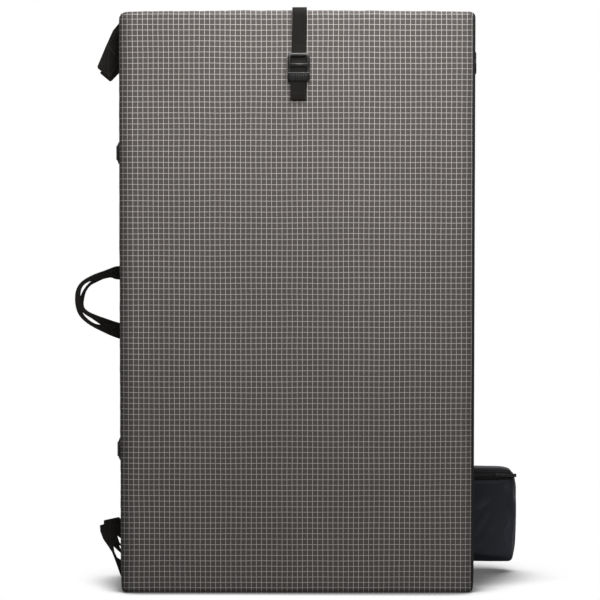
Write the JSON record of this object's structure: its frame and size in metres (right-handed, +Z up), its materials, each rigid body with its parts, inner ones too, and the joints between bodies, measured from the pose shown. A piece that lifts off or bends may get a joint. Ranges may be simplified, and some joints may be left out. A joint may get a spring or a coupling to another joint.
{
  "type": "bouldering crash pad",
  "caption": "Folding bouldering crash pad, shut and standing on end, with carry handles, buckled closures, a padded harness with hip belt on the back and a zipped belt pouch.",
  "frame": {"origin": "middle of the whole object's base, on the floor", "axes": "+X to the right as the folded front is looked at, +Y from the front half to the harness on the back, +Z up along the pad's long side"},
  "size_m": [0.7896, 0.2957, 1.0099],
  "materials": {
    "grid_fabric": "grey nylon with a thin pale ripstop grid",
    "landing_fabric": "black woven nylon",
    "closed_foam": "closed-cell foam",
    "open_foam": "open-cell foam",
    "webbing": "black webbing",
    "moulded": "satin moulded black",
    "zip_tape": "black woven tape with a coil",
    "zip_metal": "dark painted",
    "hook_alloy": "satin",
    "padded_mesh": "black spacer mesh over foam",
    "pouch_nylon": "black nylon with a slight sheen"
  },
  "bodies": {
    "back_half": {"back_cover": "grid_fabric", "back_landing_panel": "landing_fabric", "back_landing_foam": "closed_foam", "back_core_foam": "open_foam", "back_base_foam": "closed_foam", "back_zip_tape": "zip_tape", "back_hinge_leaf": "landing_fabric", "upper_buckle_socket": "moulded", "upper_socket_webbing": "webbing", "lower_buckle_socket": "moulded", "lower_socket_webbing": "webbing", "hook_loop": "webbing", "harness_patch": "landing_fabric", "left_strap_top_tab": "webbing", "left_strap_foot_tab": "webbing", "right_strap_top_tab": "webbing", "right_strap_foot_tab": "webbing", "belt_base": "padded_mesh"},
    "front_half": {"front_cover": "grid_fabric", "front_landing_panel": "landing_fabric", "front_landing_foam": "closed_foam", "front_core_foam": "open_foam", "front_base_foam": "closed_foam", "front_zip_tape": "zip_tape", "front_hinge_leaf": "landing_fabric", "upper_buckle_plug": "moulded", "upper_plug_webbing": "webbing", "lower_buckle_plug": "moulded", "lower_plug_webbing": "webbing", "closure_strap": "webbing", "closure_ladderlock": "moulded", "closure_anchor_tab": "webbing", "closure_hook": "hook_alloy"},
    "back_zip_slider": {"back_zip_slider": "zip_metal"},
    "front_zip_slider": {"front_zip_slider": "zip_metal"},
    "back_handle": {"back_handle": "webbing"},
    "front_handle": {"front_handle": "webbing"},
    "top_corner_strap": {"top_corner_strap": "webbing", "top_corner_tab": "webbing"},
    "bottom_corner_strap": {"bottom_corner_strap": "webbing", "bottom_corner_tab": "webbing"},
    "left_shoulder": {"left_shoulder_pad": "padded_mesh", "left_ladderlock": "moulded", "left_lock_tab": "webbing", "left_adjuster_webbing": "webbing"},
    "right_shoulder": {"right_shoulder_pad": "padded_mesh", "right_ladderlock": "moulded", "right_lock_tab": "webbing", "right_adjuster_webbing": "webbing"},
    "haul_loop": {"haul_loop": "webbing"},
    "left_wing": {"left_belt_wing": "padded_mesh", "left_belt_webbing": "webbing", "belt_plug": "moulded"},
    "right_wing": {"right_belt_wing": "padded_mesh", "right_belt_webbing": "webbing", "belt_socket": "moulded", "pouch_body": "pouch_nylon", "pouch_zip_tape": "zip_tape"},
    "pouch_zip_slider": {"pouch_zip_slider": "zip_metal"}
  },
  "joints": [
    {"name": "fold_hinge", "type": "hinge", "parent": "back_half", "child": "front_half", "pos_m": [0.31, -0.03345, 0], "axis": [0, 0, 1], "range_deg": [0, 180]},
    {"name": "back_zip", "type": "slide", "parent": "back_half", "child": "back_zip_slider", "axis": [0, 0, 1], "range_m": [-0.83, 0]},
    {"name": "front_zip", "type": "slide", "parent": "front_half", "child": "front_zip_slider", "axis": [0, 0, 1], "range_m": [-0.83, 0]},
    {"name": "back_handle_swing", "type": "hinge", "parent": "back_half", "child": "back_handle", "pos_m": [-0.3056, -0.03015, 0.495], "axis": [0, 0, 1], "range_deg": [-85, 0]},
    {"name": "front_handle_swing", "type": "hinge", "parent": "front_half", "child": "front_handle", "pos_m": [-0.3056, -0.03675, 0.495], "axis": [0, 0, 1], "range_deg": [0, 85]},
    {"name": "top_corner_swing", "type": "hinge", "parent": "front_half", "child": "top_corner_strap", "pos_m": [-0.30704, -0.08345, 0.982], "axis": [0, 0, 1], "range_deg": [-65, 80]},
    {"name": "bottom_corner_swing", "type": "hinge", "parent": "front_half", "child": "bottom_corner_strap", "pos_m": [-0.30704, -0.08345, 0.018], "axis": [0, 0, 1], "range_deg": [-65, 80]},
    {"name": "left_shoulder_turn", "type": "hinge", "parent": "back_half", "child": "left_shoulder", "pos_m": [-0.105, 0.09055, 0.255], "axis": [0, 0, 1], "range_deg": [-20, 20]},
    {"name": "right_shoulder_turn", "type": "hinge", "parent": "back_half", "child": "right_shoulder", "pos_m": [0.105, 0.09055, 0.255], "axis": [0, 0, 1], "range_deg": [-20, 20]},
    {"name": "haul_loop_lift", "type": "hinge", "parent": "back_half", "child": "haul_loop", "pos_m": [0, 0.07343, 0.905], "axis": [1, 0, 0], "range_deg": [0, 150]},
    {"name": "left_wing_swing", "type": "hinge", "parent": "back_half", "child": "left_wing", "pos_m": [-0.06015, 0.07862, 0.14], "axis": [0, 0, 1], "range_deg": [-90, 0]},
    {"name": "right_wing_swing", "type": "hinge", "parent": "back_half", "child": "right_wing", "pos_m": [0.06015, 0.07862, 0.14], "axis": [0, 0, 1], "range_deg": [0, 90]},
    {"name": "pouch_zip", "type": "slide", "parent": "right_wing", "child": "pouch_zip_slider", "axis": [1, 0, 0], "range_m": [-0.115, 0]}
  ]
}
